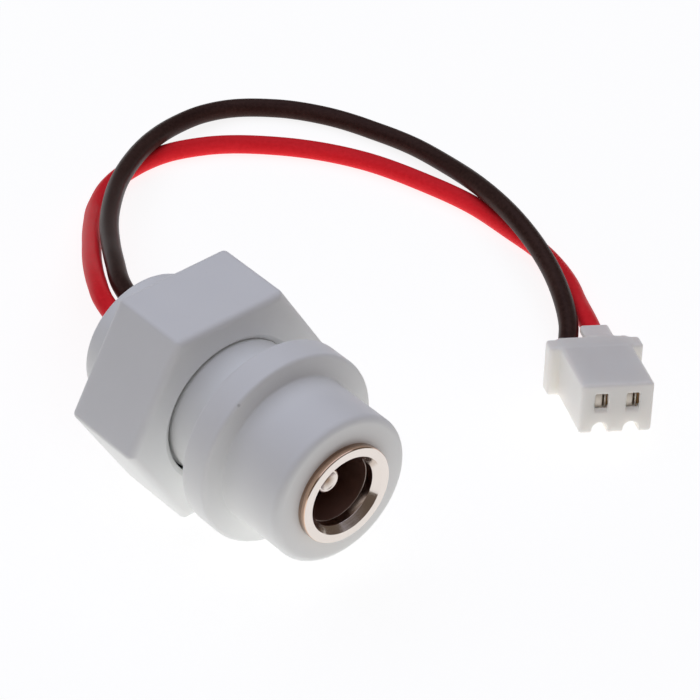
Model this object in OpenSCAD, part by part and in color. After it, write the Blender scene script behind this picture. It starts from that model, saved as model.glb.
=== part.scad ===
// Panel-mount power socket for a barrel plug, with a loose panel nut and a two-wire lead to a small plug.
// The socket lies on one flat of its nut: +Z is up and the table is Z = 0.
// The socket's axis runs along Y with its mouth towards -Y, and the origin is under the socket's middle.

/* [Socket body] */
// Diameter of the round nose
nose_diameter = 12.4; // [11.5:0.1:13.5]
// Length of the nose in front of the flange
nose_length = 6.2; // [5:0.1:9]
// Rounding of the nose's front edge
nose_rounding = 0.6; // [0.4:0.1:1.4]
// Fillet between the nose and the flange
nose_fillet = 0.35; // [0.2:0.05:0.8]
// Diameter of the flange that seats on the panel
flange_diameter = 16; // [15.6:0.1:16.6]
// Thickness of the flange
flange_thickness = 2.6; // [1.6:0.1:4]
// Rounding of the flange's rim
flange_rounding = 0.3; // [0.2:0.1:0.7]
// Length of the barrel behind the flange
barrel_length = 14.9; // [14:0.1:18]
// Length of the plain neck behind the flange
neck_length = 4.3; // [2:0.1:5]
// Length of the plain tail behind the thread
tail_length = 2.4; // [1:0.1:4]
// Rounding of the barrel's rear edge
tail_rounding = 0.4; // [0.2:0.1:0.8]
// Outer diameter of the barrel's thread
thread_diameter = 12; // [11.6:0.05:12.4]
// Depth of the plain neck and tail below the thread's crests
neck_relief = 0.25; // [0.1:0.05:0.5]

/* [Panel nut] */
// Width of the nut across its flats
nut_across_flats = 17; // [16.8:0.1:19]
// Thickness of the nut
nut_thickness = 7.4; // [4:0.1:8]
// Gap for the panel, between the flange and the nut
panel_gap = 3.8; // [2:0.1:5]
// Rounding of the nut's edges
nut_rounding = 0.7; // [0.7:0.1:0.9]
// Chamfer at both ends of the nut's hole
nut_hole_chamfer = 0.2; // [0.1:0.05:0.5]
// Radial clearance of the nut on the thread
thread_clearance = 0.05; // [0.02:0.01:0.1]

/* [Mouth bush] */
// Diameter of the ring in front of the nose
ring_diameter = 8.1; // [7.9:0.1:9]
// Height of the ring in front of the nose
ring_height = 0.7; // [0.4:0.1:1]
// Edge break of the ring
ring_edge = 0.15; // [0.05:0.05:0.3]
// Diameter of the bush's shank in the nose
shank_diameter = 7.1; // [6.8:0.1:7.6]
// Length of the shank in the nose
shank_length = 3.5; // [2:0.1:4.5]
// Diameter of the bore that guides the plug
plug_bore = 5.7; // [5.6:0.02:5.8]
// Diameter of the mouth at the ring's face
mouth_diameter = 6.6; // [6.2:0.1:7]
// Depth of the mouth's chamfer
mouth_chamfer = 0.4; // [0.2:0.1:0.6]
// Length of the guiding land behind the chamfer
land_length = 0.9; // [0.5:0.1:1.2]
// Diameter of the bore behind the land
inner_bore = 6.2; // [6.1:0.1:6.4]

/* [Jack inside] */
// Depth of the plug's bore from the ring's face
plug_depth = 11.2; // [10:0.1:12]
// Outer diameter of the insulator
insulator_diameter = 8.5; // [8:0.1:9]
// Radial clearance of the insulator in the body
insulator_clearance = 0.05; // [0.02:0.01:0.1]
// Thickness of the insulator's base
base_thickness = 1.8; // [1.2:0.1:2.5]
// Diameter of the centre pin
pin_diameter = 2; // [1.9:0.05:2.1]
// Depth of the pin's tip behind the ring's face
pin_setback = 2.1; // [1.6:0.1:3]
// Rounding of the pin's tip
pin_rounding = 0.2; // [0.1:0.05:0.5]
// Diameter of the pin's stem in the base
stem_diameter = 1.4; // [1.2:0.1:1.6]
// Length of the solder cup behind the base
cup_length = 2.6; // [2:0.1:2.7]
// Depth of the hole in the solder cup
cup_depth = 1.5; // [1:0.1:1.8]
// Depth of the leaf's root behind the bore's wall
leaf_recess = 0.2; // [0.1:0.05:0.25]
// Distance of the leaf's free end from the bush
leaf_front_gap = 0.3; // [0.2:0.1:0.6]
// Straight length of the leaf in front of the base
leaf_root = 0.4; // [0.2:0.1:0.8]
// Width of the leaf spring and of its tag
spring_width = 1.1; // [0.9:0.1:1.1]
// Thickness of the leaf spring
spring_thickness = 0.25; // [0.15:0.05:0.3]
// How far the leaf bows into the bore
spring_bow = 0.7; // [0.4:0.05:0.8]
// Side clearance of the leaf in its slot
slot_clearance = 0.1; // [0.05:0.05:0.2]
// Length of the solder tag behind the base
tag_length = 3.2; // [3.1:0.1:3.4]
// Straight length of the tag between the base and its step
tag_straight = 0.2; // [0.1:0.05:0.4]

/* [Lead] */
// Outer diameter of each wire's insulation
wire_diameter = 1.6; // [1.4:0.05:1.6]
// Diameter of the bare strands
strand_diameter = 0.8; // [0.6:0.05:0.8]
// Length of the strands bared at each end
strip_length = 2.4; // [1.6:0.1:2.6]
// Gap between the solder tag and the insulation
joint_gap = 0.3; // [0.2:0.05:0.5]
// Diameter of the solder round the strands on the tag
solder_diameter = 1.3; // [1:0.05:1.4]
// Thickness of the solder between the strands and the tag
solder_film = 0.05; // [0.03:0.01:0.08]
// Wall of the heat-shrink sleeves
shrink_wall = 0.15; // [0.1:0.05:0.15]
// Radial room inside the heat-shrink sleeves
shrink_room = 0.2; // [0.16:0.02:0.2]
// Length of the heat-shrink sleeves
shrink_length = 4; // [3.4:0.1:4]
// Overlap of the heat-shrink sleeves on the insulation
shrink_overlap = 1.2; // [1:0.1:1.6]
// Gap between the two heat-shrink sleeves
shrink_gap = 0.1; // [0.05:0.05:0.2]
// Thickness of the potting in the barrel's rear
seal_thickness = 2.2; // [1.5:0.1:3]
// Depth of the potting's face inside the barrel's rear
seal_recess = 0.4; // [0:0.1:1]
// Radial clearance of the wires in the potting
wire_clearance = 0.05; // [0.02:0.01:0.08]
// Distance between the wires where they leave the barrel
exit_pitch = 1.8; // [1.8:0.05:2.2]
// How far the two wires' middle lies beside the barrel's axis
exit_offset = 0.6; // [0:0.1:1]

/* [Plug housing] */
// Distance between the two contacts
contact_pitch = 2.5; // [2.5:0.02:2.54]
// Width of the housing's front
housing_width = 5.8; // [5.6:0.1:6.2]
// Height of the housing
housing_height = 4.2; // [4.1:0.1:4.6]
// Length of the housing without its tab
housing_length = 8.6; // [8.4:0.1:9.5]
// Width across the ears at the rear
ear_width = 7.6; // [6.8:0.1:7.8]
// Length of the ears
ear_length = 1.6; // [1:0.1:2.5]
// Distance of the ears from the housing's rear face
ear_setback = 0.3; // [0.1:0.1:1]
// Width of the tab over the wires
tab_width = 2.3; // [1.5:0.1:3]
// Length of the tab behind the housing
tab_length = 2; // [0.8:0.1:2.2]
// Thickness of the tab
tab_thickness = 0.9; // [0.5:0.1:1.2]
// How far the tab's middle lies from the housing's middle
tab_offset = 0.7; // [0:0.1:0.8]
// Rounding of the housing's edges
housing_rounding = 0.35; // [0.15:0.05:0.5]
// Width of each contact cavity
cavity_width = 2.1; // [2:0.05:2.15]
// Height of each contact cavity
cavity_height = 2.4; // [2.3:0.05:2.5]
// Thickness of the floor and grooves under the cavities
cavity_floor = 1.2; // [1:0.05:1.3]
// Thickness of the front wall
front_wall = 1; // [0.6:0.1:1.2]
// Distance of the openings below the cavities' tops
opening_drop = 0.25; // [0.15:0.05:0.4]
// Width of each opening in the front wall
opening_width = 1; // [0.8:0.05:1.2]
// Height of each opening in the front wall
opening_height = 1; // [0.8:0.05:1.1]
// Width of the grooves under the housing
groove_width = 1.25; // [1:0.05:1.4]
// Height of the grooves under the housing
groove_height = 0.9; // [0.7:0.05:0.95]
// Width of the flat along each groove's top
groove_flat = 0.1; // [0.05:0.05:0.3]
// Length of the grooves under the housing
groove_length = 6; // [5:0.1:6.6]
// Length of the window under each contact's box
window_length = 1.9; // [1:0.1:2.4]

/* [Crimp contacts] */
// Clearance in front of and above the contacts
contact_clearance = 0.1; // [0.05:0.01:0.12]
// Depth of the contacts inside the housing's rear
contact_recess = 0.4; // [0.2:0.1:0.6]
// Thickness of the contacts' sheet
sheet = 0.2; // [0.15:0.01:0.22]
// Width of the contact's box
box_width = 1.6; // [1.4:0.05:1.8]
// Height of the contact's box
box_height = 1.9; // [1.7:0.05:2]
// Length of the contact's box
box_length = 2.9; // [2:0.1:3]
// Distance of the tongue's tip behind the box's front
tongue_tip = 0.4; // [0.2:0.1:0.6]
// Distance of the tongue's bend behind the box's front
tongue_bend = 1; // [0.8:0.1:1.4]
// Rise of the tongue's tip above the box's floor
tip_rise = 0.2; // [0.1:0.05:0.3]
// Rise of the tongue's bend above the box's floor
bend_rise = 0.5; // [0.4:0.05:0.6]
// Length of the crimp on the strands
strand_crimp_length = 1.1; // [0.8:0.1:1.3]
// Length of the crimp on the insulation
wire_crimp_length = 1.3; // [0.8:0.1:1.5]
// Wall of the crimp on the insulation
wire_crimp_wall = 0.14; // [0.1:0.01:0.16]
// Width of the slit along each crimp
crimp_slit = 0.1; // [0.05:0.05:0.2]
// Radial play of the insulation in its crimp
crimp_play = 0.02; // [0.01:0.01:0.04]
// How far the insulation reaches in front of its crimp
insulation_reach = 0.2; // [0.1:0.05:0.3]
// Bare length between the insulation and the strands' crimp
bare_length = 0.4; // [0.3:0.05:0.5]

/* [Hidden] */
$fn = 64;

// Overshoot of a cutter past the face it cuts
cut = 1;

// Stations along the socket, measured backwards from the ring's face
nose_face = ring_height;
flange_front = nose_face + nose_length;
flange_rear = flange_front + flange_thickness;
socket_length = flange_rear + barrel_length;
thread_start = flange_rear + neck_length;
thread_end = socket_length - tail_length;
nut_front = flange_rear + panel_gap;
shoulder = nose_face + shank_length;
base_rear = plug_depth + base_thickness;
cup_end = base_rear + cup_length;
cup_bottom = cup_end - cup_depth;
tag_end = base_rear + tag_length;
wire_start = tag_end + joint_gap;
shrink_end = wire_start + shrink_overlap;
shrink_start = shrink_end - shrink_length;
seal_rear = socket_length - seal_recess;
seal_front = seal_rear - seal_thickness;

// The socket lies on a flat of the nut
axis_height = nut_across_flats / 2;
neck_diameter = thread_diameter - 2 * neck_relief;
jack_radius = insulator_diameter / 2 + insulator_clearance;
shrink_bore = wire_diameter / 2 + shrink_room;

// Places across the socket's axis: the leaf, its tag and the two wires
leaf_x = inner_bore / 2 + leaf_recess;
red_joint_x = 0;
black_joint_x = 2 * (shrink_bore + shrink_wall) + shrink_gap;
tag_x = black_joint_x + strand_diameter / 2 + solder_film;
red_exit_x = exit_offset - exit_pitch / 2;
black_exit_x = exit_offset + exit_pitch / 2;

// Places inside the plug housing, from the middle of its front face's lower edge
cavity_middle = cavity_floor + cavity_height / 2;
cavity_top = cavity_floor + cavity_height;
opening_top = cavity_top - opening_drop;
opening_bottom = opening_top - opening_height;
ear_rear = housing_length - ear_setback;
box_start = front_wall + contact_clearance;
box_end = box_start + box_length;
box_bottom = cavity_top - contact_clearance - box_height;
wire_crimp_end = housing_length - contact_recess;
wire_crimp_start = wire_crimp_end - wire_crimp_length;
wire_end = wire_crimp_start - insulation_reach;
strand_crimp_end = wire_end - bare_length;
strand_crimp_start = strand_crimp_end - strand_crimp_length;
strand_end = wire_end - strip_length;

// Where the plug housing lies: turned, nose up and leaning on one ear's corner
plug_yaw = -28.5;
plug_pitch = -11.5;
plug_roll = 5;
ear_drop = ear_rear * sin(-plug_pitch) + ear_width / 2 * sin(plug_roll) * cos(plug_pitch);
edge_drop = housing_length * sin(-plug_pitch) + housing_width / 2 * sin(plug_roll) * cos(plug_pitch);
plug_place = [25.6, -13.7, max(ear_drop, edge_drop)];

// Straight lengths of the wires in front of and inside the potting, and behind the plug housing
seal_approach = 0.4;
seal_entry = 0.6;
plug_approach = 1.8;

// The wires' routes outside the socket, which end at the plug housing
red_route = [
    [-0.2, 15, 8.5], [0.5, 18, 8.4], [2, 21, 7.7], [4.2, 24.6, 6.4], [7, 28.6, 4.7],
    [10.2, 32.9, 2.8], [13.4, 36.6, 1.3], [16.4, 38.8, 0.8], [19, 39.5, 0.8], [22.5, 39.5, 0.8],
    [26, 38.2, 0.8], [31, 34, 0.8], [35, 28, 0.8], [37, 22, 0.8], [38, 17, 0.8],
    [38.1, 12.5, 0.8], [38, 8.5, 0.8], [36.6, 3.6, 1], [35.2, 1, 1.3], [33.6, -1.9, 1.9]
];
black_route = [
    [1.9, 15.5, 8.5], [3, 19.1, 8.2], [4.9, 22.5, 7.4], [7.2, 26.2, 6.2], [9.7, 29.8, 5.1],
    [12.4, 33, 4.2], [15, 35.6, 3.5], [17.5, 37.5, 3.1], [21.3, 39.7, 2.5], [25.1, 41.1, 1.8],
    [28.5, 41.5, 1.3], [31.3, 41, 0.9], [34.1, 38.9, 0.8], [36.8, 35.2, 0.8], [38.6, 30.8, 0.8],
    [39.5, 26.8, 1], [39.6, 22.2, 1.4], [38.9, 17.1, 2.2], [37.8, 12, 2.7], [36.4, 7.2, 2.7],
    [34.4, 2.6, 2.6], [31.6, -1.8, 2.4]
];

// A point of the socket, given across its axis and along it, in the part's frame
function in_socket(x, station) = [x, station - socket_length / 2, axis_height];

// A point of the plug housing in the part's frame
function turned(u, v, angle) = [u * cos(angle) - v * sin(angle), u * sin(angle) + v * cos(angle)];
function in_plug(p) =
    let (
        rolled = turned(p.z, p.x, plug_roll),
        pitched = turned(p.y, rolled[0], plug_pitch),
        yawed = turned(rolled[1], pitched[0], plug_yaw)
    )
    plug_place + [yawed[0], yawed[1], pitched[1]];

// A wire's whole path: from its joint through the potting, along its route and into its contact
function wire_path(joint_x, exit_x, route, contact_x) = concat(
    [for (station = [wire_start, shrink_end]) in_socket(joint_x, station)],
    [for (station = [seal_front - seal_approach, seal_front + seal_entry, socket_length])
        in_socket(exit_x, station)],
    route,
    [for (y = [housing_length + plug_approach, housing_length, wire_end])
        in_plug([contact_x, y, cavity_middle])]
);

// Direction of a path at one of its points
function unit(v) = v / norm(v);
function heading(path, i) = unit(path[min(i + 1, len(path) - 1)] - path[max(i - 1, 0)]);

// A ring of points round a path's point
function ring_at(p, along, radius, sides) =
    let (side = unit(cross(along, [0, 0, 1])), top = cross(side, along))
    [for (k = [0:sides - 1]) p + radius * (cos(360 * k / sides) * side + sin(360 * k / sides) * top)];

// A round cord along a path
module tube(path, radius, sides = 8) {
    last = len(path) - 1;
    points = [for (i = [0:last]) each ring_at(path[i], heading(path, i), radius, sides)];
    walls = [
        for (i = [0:last - 1], k = [0:sides - 1])
            let (a = i * sides + k, b = i * sides + (k + 1) % sides)
            each [[a, b, b + sides], [a, b + sides, a + sides]]
    ];
    ends = [
        [for (k = [sides - 1:-1:0]) k],
        [for (k = [0:sides - 1]) last * sides + k]
    ];
    polyhedron(points, concat(walls, ends), convexity = 6);
}

// Puts a shape that was turned about Z, from the ring's face backwards, on the socket's axis
module on_socket() {
    translate([0, -socket_length / 2, axis_height]) rotate([-90, 0, 0]) children();
}

// Puts a shape that was drawn from the middle of the plug housing's front edge where the plug lies
module on_plug() {
    translate(plug_place) rotate([0, 0, plug_yaw])
        rotate([plug_pitch, 0, 0]) rotate([0, plug_roll, 0]) children();
}

// Half section of a disc with a round front rim and a round rear rim
module disc_section(radius, length, front_round, rear_round) {
    square([radius - front_round, length - rear_round]);
    translate([0, front_round]) square([radius, length - front_round - rear_round]);
    translate([0, front_round]) square([radius - rear_round, length - front_round]);
    translate([radius - front_round, front_round]) circle(front_round);
    translate([radius - rear_round, length - rear_round]) circle(rear_round);
}

// Half section of the fillet between the nose and the flange
module fillet_section() {
    translate([nose_diameter / 2, flange_front - nose_fillet]) difference() {
        square(nose_fillet);
        translate([nose_fillet, 0]) circle(nose_fillet);
    }
}

// Half section of the threaded part of the barrel, with a lead-in at both ends
module thread_section() {
    root = neck_diameter / 2;
    crest = thread_diameter / 2;
    polygon([
        [0, thread_start], [root, thread_start], [crest, thread_start + neck_relief],
        [crest, thread_end - neck_relief], [root, thread_end], [0, thread_end]
    ]);
}

module socket_body() {
    half_flange = flange_thickness / 2;
    rim = flange_rounding;
    color("whitesmoke") on_socket() difference() {
        union() {
            rotate_extrude() translate([0, nose_face])
                disc_section(nose_diameter / 2, nose_length + half_flange, nose_rounding, rim);
            rotate_extrude() translate([0, flange_front])
                disc_section(flange_diameter / 2, flange_thickness, rim, rim);
            rotate_extrude() fillet_section();
            rotate_extrude() translate([0, flange_front + half_flange])
                disc_section(neck_diameter / 2, barrel_length + half_flange, rim, tail_rounding);
            rotate_extrude() thread_section();
        }
        translate([0, 0, nose_face - cut]) cylinder(d = shank_diameter, h = shank_length + 2 * cut);
        translate([0, 0, shoulder]) cylinder(r = jack_radius, h = socket_length);
    }
}

// Plan of a hexagon with small round corners
module hexagon_plan(across_flats, corner) {
    inset = across_flats / sqrt(3) - corner / cos(30);
    polygon([
        for (i = [0:5], side = [-30, 30])
            inset * [cos(60 * i), sin(60 * i)] + corner * [cos(60 * i + side), sin(60 * i + side)]
    ]);
    for (i = [0:5]) rotate(60 * i) translate([inset, 0]) circle(corner);
}

// Cutter that rounds the front edge of the nut's flat that faces +X
module edge_cutter() {
    reach = nut_across_flats;
    radius = nut_rounding;
    translate([nut_across_flats / 2 - radius, 0, 0]) difference() {
        translate([0, -reach / 2, -cut]) cube([radius + cut, reach, radius + cut]);
        translate([0, 0, radius]) rotate([90, 0, 0]) cylinder(r = radius, h = reach + cut, center = true);
    }
}

module hex_nut() {
    hole = thread_diameter / 2 + thread_clearance;
    chamfer = nut_hole_chamfer + cut;
    color("whitesmoke") on_socket() translate([0, 0, nut_front]) difference() {
        linear_extrude(nut_thickness) hexagon_plan(nut_across_flats, nut_rounding / 2);
        for (i = [0:5]) rotate(60 * i + 30) {
            edge_cutter();
            translate([0, 0, nut_thickness]) mirror([0, 0, 1]) edge_cutter();
        }
        translate([0, 0, -cut]) cylinder(r = hole, h = nut_thickness + 2 * cut);
        translate([0, 0, -cut]) cylinder(r1 = hole + chamfer, r2 = hole, h = chamfer);
        translate([0, 0, nut_thickness + cut - chamfer])
            cylinder(r1 = hole, r2 = hole + chamfer, h = chamfer);
    }
}

module mouth_bush() {
    ring = ring_diameter / 2;
    shank = shank_diameter / 2;
    land_end = mouth_chamfer + land_length;
    color("silver") on_socket() rotate_extrude() polygon([
        [mouth_diameter / 2, 0], [ring - ring_edge, 0], [ring, ring_edge], [ring, nose_face],
        [shank, nose_face], [shank, shoulder], [inner_bore / 2, shoulder], [inner_bore / 2, land_end],
        [plug_bore / 2, land_end], [plug_bore / 2, mouth_chamfer]
    ]);
}

module jack_insulator() {
    slot_width = spring_width + 2 * slot_clearance;
    slot_depth = leaf_x + spring_thickness + slot_clearance;
    bore_depth = plug_depth - shoulder + cut;
    color("dimgray") on_socket() difference() {
        translate([0, 0, shoulder]) cylinder(d = insulator_diameter, h = base_rear - shoulder);
        translate([0, 0, shoulder - cut]) cylinder(d = inner_bore, h = bore_depth);
        translate([0, 0, shoulder]) cylinder(d = stem_diameter, h = base_rear);
        translate([0, -slot_width / 2, shoulder - cut]) cube([slot_depth, slot_width, bore_depth]);
        translate([leaf_x, -spring_width / 2, shoulder]) cube([spring_thickness, spring_width, base_rear]);
    }
}

// Half section of the pin in the bore, with a flat tip and a round edge
module pin_section(radius, length) {
    square([radius - pin_rounding, length]);
    translate([0, pin_rounding]) square([radius, length - pin_rounding]);
    translate([radius - pin_rounding, pin_rounding]) circle(pin_rounding);
}

module centre_pin() {
    pin = pin_diameter / 2;
    stem = stem_diameter / 2;
    color("silver") on_socket() difference() {
        union() {
            rotate_extrude() translate([0, pin_setback]) pin_section(pin, plug_depth - pin_setback);
            translate([0, 0, plug_depth - cut]) cylinder(r = stem, h = cup_end - plug_depth + cut);
        }
        translate([0, 0, cup_bottom]) cylinder(d = strand_diameter, h = cup_depth + cut);
    }
}

// Side view of the leaf: bowed into the bore, straight through the base, stepped in to its tag
module spring_outline() {
    free_start = shoulder + leaf_front_gap;
    free_end = plug_depth - leaf_root;
    step_start = base_rear + tag_straight;
    steps = 12;
    bow = [
        for (i = [0:steps])
            let (t = i / steps)
            [leaf_x - spring_bow * (1 - cos(360 * t)) / 2, free_start + t * (free_end - free_start)]
    ];
    step_end = step_start + leaf_x - tag_x;
    inner = concat(bow, [[leaf_x, step_start], [tag_x, step_end], [tag_x, tag_end]]);
    outer = [for (i = [len(inner) - 1:-1:0]) inner[i] + [spring_thickness, 0]];
    polygon(concat(inner, outer));
}

module sleeve_spring() {
    color("goldenrod") on_socket() translate([0, spring_width / 2, 0])
        rotate([90, 0, 0]) linear_extrude(spring_width) spring_outline();
}

module red_solder() {
    cup = stem_diameter / 2;
    strand = strand_diameter / 2;
    color("lightgray") on_socket() translate([red_joint_x, 0, cup_end])
        rotate_extrude() polygon([[strand, 0], [cup, 0], [strand, cup]]);
}

module black_solder() {
    length = tag_length / 2;
    past = length + 2 * cut;
    color("lightgray") on_socket() translate([black_joint_x, 0, tag_end - length]) difference() {
        cylinder(d = solder_diameter, h = length);
        translate([0, 0, -cut]) cylinder(d = strand_diameter, h = past);
        translate([tag_x - black_joint_x, -solder_diameter / 2, -cut])
            cube([solder_diameter, solder_diameter, past]);
    }
}

module shrink(joint_x) {
    on_socket() translate([joint_x, 0, shrink_start]) difference() {
        cylinder(r = shrink_bore + shrink_wall, h = shrink_length);
        translate([0, 0, -cut]) cylinder(r = shrink_bore, h = shrink_length + 2 * cut);
    }
}

module red_shrink() {
    color("firebrick") shrink(red_joint_x);
}

module black_shrink() {
    color("black") shrink(black_joint_x);
}

module rear_seal() {
    hole = wire_diameter / 2 + wire_clearance;
    color("gainsboro") on_socket() difference() {
        translate([0, 0, seal_front]) cylinder(r = jack_radius, h = seal_thickness);
        for (x = [red_exit_x, black_exit_x])
            translate([x, 0, seal_front - cut]) cylinder(r = hole, h = seal_thickness + 2 * cut);
    }
}

module red_wire() {
    path = wire_path(red_joint_x, red_exit_x, red_route, contact_pitch / 2);
    color("crimson") tube(path, wire_diameter / 2);
}

module black_wire() {
    path = wire_path(black_joint_x, black_exit_x, black_route, -contact_pitch / 2);
    color("black") tube(path, wire_diameter / 2);
}

// Bare strands at both ends of one wire
module strands(joint_x, joint_start, contact_x) {
    on_socket() translate([joint_x, 0, joint_start])
        cylinder(d = strand_diameter, h = wire_start - joint_start);
    on_plug() translate([contact_x, strand_end, cavity_middle])
        rotate([-90, 0, 0]) cylinder(d = strand_diameter, h = strip_length);
}

module red_strands() {
    color("peru") strands(red_joint_x, cup_bottom, contact_pitch / 2);
}

module black_strands() {
    color("peru") strands(black_joint_x, wire_start - strip_length, -contact_pitch / 2);
}

// Rectangle in the middle of X, from the floor up, with round upper corners
module round_top(width, height, corner) {
    translate([-width / 2, 0]) square([width, height - corner]);
    translate([corner - width / 2, 0]) square([width - 2 * corner, height]);
    for (side = [-1, 1]) translate([side * (width / 2 - corner), height - corner]) circle(corner);
}

// Extrudes a front view backwards from the housing's front face
module backwards(start, length) {
    translate([0, start + length, 0]) rotate([90, 0, 0]) linear_extrude(length) children();
}

// Extrudes a side view, drawn as backwards and up, across the housing
module across(width) {
    translate([-width / 2, 0, 0]) rotate([90, 0, 90]) linear_extrude(width) children();
}

// Room for one contact: cavity, front opening with its ramp, groove below and the window of its lance
module contact_room() {
    ramp = front_wall / 2;
    translate([-cavity_width / 2, front_wall, cavity_floor])
        cube([cavity_width, housing_length, cavity_height]);
    across(opening_width) polygon([
        [-cut, opening_top], [front_wall + cut, opening_top], [front_wall + cut, opening_bottom],
        [ramp, opening_bottom], [-cut, opening_bottom - ramp - cut]
    ]);
    translate([0, 0, -cut]) backwards(-cut, groove_length + cut)
        round_top(groove_width, groove_height + cut, (groove_width - groove_flat) / 2);
    translate([-opening_width / 2, box_end - window_length, 0])
        cube([opening_width, window_length, cavity_middle]);
}

module connector_housing() {
    corner = housing_rounding;
    color("white") on_plug() difference() {
        union() {
            backwards(0, housing_length) round_top(housing_width, housing_height, corner);
            translate([0, ear_rear - ear_length, 0]) linear_extrude(housing_height)
                round_top(ear_width, ear_length, corner);
            translate([tab_offset, housing_length - cut, housing_height - tab_thickness])
                linear_extrude(tab_thickness) round_top(tab_width, tab_length + cut, corner / 2);
        }
        for (side = [-1, 1]) translate([side * contact_pitch / 2, 0, 0]) contact_room();
    }
}

// A sheet rolled round a wire that runs backwards, with a slit on top
module rolled_sheet(start, length, bore, wall) {
    outside = bore + wall;
    past = length + 2 * cut;
    translate([0, start, cavity_middle]) rotate([-90, 0, 0]) difference() {
        cylinder(r = outside, h = length);
        translate([0, 0, -cut]) cylinder(r = bore, h = past);
        translate([-crimp_slit / 2, -outside - cut, -cut]) cube([crimp_slit, outside + cut, past]);
    }
}

// Crimp contact: a box for the mating post with its tongue and lance, a floor and two crimps
module crimp_contact() {
    strand = strand_diameter / 2;
    wire = wire_diameter / 2 + crimp_play;
    strand_floor = cavity_middle - strand;
    strand_under = strand_floor - sheet;
    wire_floor = cavity_middle - wire;
    wire_under = wire_floor - wire_crimp_wall;
    box_floor = box_bottom + sheet;
    tip = box_start + tongue_tip;
    bend = box_start + tongue_bend;
    difference() {
        translate([-box_width / 2, box_start, box_bottom]) cube([box_width, box_length, box_height]);
        translate([sheet - box_width / 2, box_start - cut, box_floor])
            cube([box_width - 2 * sheet, box_length + 2 * cut, box_height - 2 * sheet]);
    }
    across(strand_diameter) polygon([
        [box_end - sheet, box_bottom], [box_end - sheet, box_floor],
        [strand_crimp_start, strand_floor], [strand_crimp_end, strand_floor],
        [wire_end, wire_floor], [wire_crimp_end, wire_floor],
        [wire_crimp_end, wire_under], [wire_end, wire_under],
        [strand_crimp_end, strand_under], [strand_crimp_start, strand_under]
    ]);
    across(strand_diameter) polygon([
        [box_end, box_bottom], [box_end, box_floor],
        [bend, box_floor + bend_rise], [tip, box_floor + tip_rise],
        [tip, box_floor + tip_rise - sheet], [bend, box_floor + bend_rise - sheet]
    ]);
    rolled_sheet(strand_crimp_start, strand_crimp_length, strand, sheet);
    rolled_sheet(wire_crimp_start, wire_crimp_length, wire, wire_crimp_wall);
}

module contact_red() {
    color("gold") on_plug() translate([contact_pitch / 2, 0, 0]) crimp_contact();
}

module contact_black() {
    color("gold") on_plug() translate([-contact_pitch / 2, 0, 0]) crimp_contact();
}

socket_body();
hex_nut();
mouth_bush();
jack_insulator();
centre_pin();
sleeve_spring();
red_solder();
black_solder();
red_shrink();
black_shrink();
rear_seal();
red_wire();
black_wire();
red_strands();
black_strands();
connector_housing();
contact_red();
contact_black();
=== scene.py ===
"""Looks of a white panel-mount power socket and its red and black lead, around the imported
solids.

Sizes are written in millimetres and become metres where a mesh is made. The socket's axis runs
along Y at AXIS_HEIGHT, and a station is a distance along it behind the metal ring's face.
"""

import math

import bpy
import numpy as np
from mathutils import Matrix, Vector


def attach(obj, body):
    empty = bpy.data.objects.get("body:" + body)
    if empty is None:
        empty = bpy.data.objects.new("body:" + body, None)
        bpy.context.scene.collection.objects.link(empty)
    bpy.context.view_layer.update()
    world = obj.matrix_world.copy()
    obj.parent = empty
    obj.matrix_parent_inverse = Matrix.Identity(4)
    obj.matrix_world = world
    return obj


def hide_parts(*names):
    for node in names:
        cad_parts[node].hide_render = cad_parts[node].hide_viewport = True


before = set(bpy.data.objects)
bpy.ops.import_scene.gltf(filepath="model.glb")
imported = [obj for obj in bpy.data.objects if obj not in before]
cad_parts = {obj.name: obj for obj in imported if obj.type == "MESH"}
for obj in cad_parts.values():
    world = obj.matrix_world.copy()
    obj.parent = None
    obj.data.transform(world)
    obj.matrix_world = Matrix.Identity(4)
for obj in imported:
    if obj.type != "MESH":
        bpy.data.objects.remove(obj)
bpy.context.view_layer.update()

MM = 0.001
AXIS_HEIGHT = 8.5
SOCKET_MIDDLE = 12.2
# A distance that is too small to matter.
TOUCH = 0.01
# Steps round the turned pieces, round the pin and the potting, and round a wire.
BODY_STEPS, PIN_STEPS, WIRE_STEPS = 144, 96, 24
# Most of a noise texture's values lie in this range.
NOISE_SPREAD = {"From Min": 0.3, "From Max": 0.7}
NYLON_IOR, PHENOLIC_IOR, VINYL_IOR = 1.53, 1.55, 1.53

# Camera: the photo's pinhole fit, in millimetres.
CAMERA_PLACE = (-137.09, -177.11, 190.18)
CAMERA_LOOK = (0.5036, 0.6047, -0.6170)
CAMERA_LENS, SENSOR_WIDTH = 197.8, 36.0

# Table: its half side, and the lit sheet's middle, half sizes and turn. The sheet is the patch of
# table that the picture takes in, and its glow fades out at SHEET_FADE half sizes. FLOOR_WHITE is
# what a camera or a mirror sees of the glow, and GLOW_SHARE is the glow's part in the table's look
# beside its matt white.
TABLE_HALF = 3000.0
SHEET_MIDDLE, SHEET_HALF, SHEET_TURN, SHEET_FADE = (18.1, 9.3), (33.0, 52.0), -39.8, 1.35
SHEET_GLOW, ROOM_GLOW, FLOOR_WHITE, GLOW_SHARE = 1.36, 0.4, 1.16, 0.75

# Room and lamp: the lamp's power is in watts, and its tint is bluish, as the photo's light from
# above is.
ROOM_STRENGTH = 0.15
LAMP_SIDE, LAMP_POWER = 900.0, 2.42
LAMP_TINT, LAMP_PLACE = (0.76, 0.822, 1.0), (0.0, 120.0, 500.0)

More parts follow.
